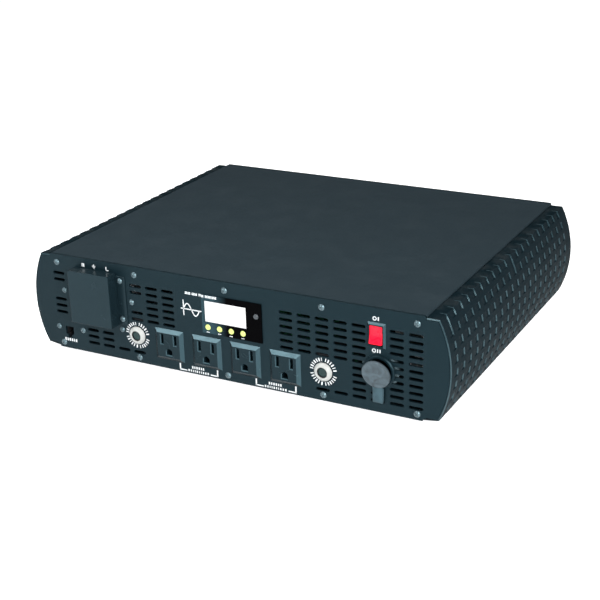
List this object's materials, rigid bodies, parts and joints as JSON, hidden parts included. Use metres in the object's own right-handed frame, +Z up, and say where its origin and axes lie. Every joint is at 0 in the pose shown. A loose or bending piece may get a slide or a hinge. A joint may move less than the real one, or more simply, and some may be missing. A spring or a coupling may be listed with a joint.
{
  "type": "power inverter",
  "caption": "Low wide mains power inverter with curved ribbed sides, earthed outlets, a rocker switch, a capped accessory socket and a lit display on the front, and studs and fans behind.",
  "frame": {"origin": "middle of the overall footprint, on the surface that the feet stand on", "axes": "+X to the right seen from the front, along the case's width; +Y from the front panel to the rear; +Z up"},
  "size_m": [0.39, 0.339, 0.09],
  "materials": {
    "case_paint": "fine satin powder coat",
    "top_paint": "fine satin powder coat",
    "side_paint": "fine satin powder coat",
    "foot_rubber": "matte",
    "screw_steel": "bright zinc plate",
    "black_plastic": "matte moulded",
    "contact_brass": "plain",
    "outlet_plastic": "satin moulded",
    "white_plastic": "polished",
    "button_plastic": "polished",
    "red_plastic": "translucent look, satin",
    "socket_metal": "dark satin",
    "cap_rubber": "matte soft rubber",
    "window_plastic": "polished smoked acrylic",
    "lcd_screen": "lit white",
    "lamp_lens": "lit yellow-green",
    "key_plastic": "polished",
    "circuit_board": "solder mask",
    "ferrite": "matte sintered",
    "winding_tape": "polyester tape",
    "capacitor_blue": "shrink sleeve",
    "capacitor_black": "shrink sleeve",
    "copper_wire": "enamelled",
    "sink_aluminium": "extruded, plain",
    "fuse_plastic": "translucent",
    "copper_bar": "bare",
    "fan_plastic": "glass-filled, matte",
    "terminal_red": "moulded",
    "terminal_black": "moulded",
    "stud_brass": "nickel-free, turned"
  },
  "bodies": {
    "housing": {"base_tray": "case_paint", "top_cover": "top_paint", "side_cover_left": "side_paint", "side_cover_right": "side_paint", "front_panel": "case_paint", "rear_panel": "case_paint", "feet": "foot_rubber", "panel_screws": "screw_steel", "small_screws": "screw_steel", "terminal_cover": "case_paint", "ac_terminal_block": "black_plastic", "terminal_clamps": "contact_brass", "remote_jack": "black_plastic", "jack_contacts": "contact_brass", "outlet_1": "outlet_plastic", "outlet_2": "outlet_plastic", "outlet_3": "outlet_plastic", "outlet_4": "outlet_plastic", "outlet_contacts": "contact_brass", "breaker_left": "black_plastic", "breaker_right": "black_plastic", "breaker_nut_left": "white_plastic", "breaker_nut_right": "white_plastic", "switch_housing": "outlet_plastic", "socket_shell": "socket_metal", "socket_clamp": "screw_steel", "socket_contact": "contact_brass", "cap_strap": "cap_rubber", "display_window": "window_plastic", "lcd_module": "lcd_screen", "status_lamps": "lamp_lens", "display_board": "circuit_board", "main_board": "circuit_board", "board_standoffs": "screw_steel", "transformer_cores": "ferrite", "transformer_windings": "winding_tape", "input_capacitors": "capacitor_blue", "bus_capacitors": "capacitor_black", "output_choke": "copper_wire", "heatsink_left": "sink_aluminium", "heatsink_right": "sink_aluminium", "power_transistors": "black_plastic", "control_board": "circuit_board", "fuse_bank": "fuse_plastic", "bus_bars": "copper_bar", "fan_frame_left": "fan_plastic", "fan_frame_right": "fan_plastic", "fan_screws": "screw_steel", "terminal_positive": "terminal_red", "terminal_negative": "terminal_black", "terminal_studs": "stud_brass", "ground_stud": "screw_steel"},
    "rocker": {"switch_rocker": "red_plastic"},
    "cap": {"socket_cap": "cap_rubber"},
    "reset_left": {"breaker_button_left": "button_plastic"},
    "reset_right": {"breaker_button_right": "button_plastic"},
    "display_key": {"display_button": "key_plastic"},
    "fan_left": {"fan_rotor_left": "fan_plastic"},
    "fan_right": {"fan_rotor_right": "fan_plastic"}
  },
  "joints": [
    {"name": "rocker_pivot", "type": "hinge", "parent": "housing", "child": "rocker", "pos_m": [0.1342, -0.1563, 0.0676], "axis": [1, 0, 0], "range_deg": [0, 17]},
    {"name": "cap_hinge", "type": "hinge", "parent": "housing", "child": "cap", "pos_m": [0.1359, -0.1607, 0.0249], "axis": [1, 0, 0], "range_deg": [-10, 90]},
    {"name": "reset_left_travel", "type": "slide", "parent": "housing", "child": "reset_left", "axis": [0, -1, 0], "range_m": [0, 0.004]},
    {"name": "reset_right_travel", "type": "slide", "parent": "housing", "child": "reset_right", "axis": [0, -1, 0], "range_m": [0, 0.004]},
    {"name": "display_key_travel", "type": "slide", "parent": "housing", "child": "display_key", "axis": [0, 1, 0], "range_m": [0, 0.0006], "stiffness_N_per_m": 500, "springref_m": -0.001},
    {"name": "fan_left_spin", "type": "hinge", "parent": "housing", "child": "fan_left", "pos_m": [-0.112, 0.1265, 0.0465], "axis": [0, 1, 0], "continuous": true},
    {"name": "fan_right_spin", "type": "hinge", "parent": "housing", "child": "fan_right", "pos_m": [0.112, 0.1265, 0.0465], "axis": [0, 1, 0], "continuous": true}
  ]
}
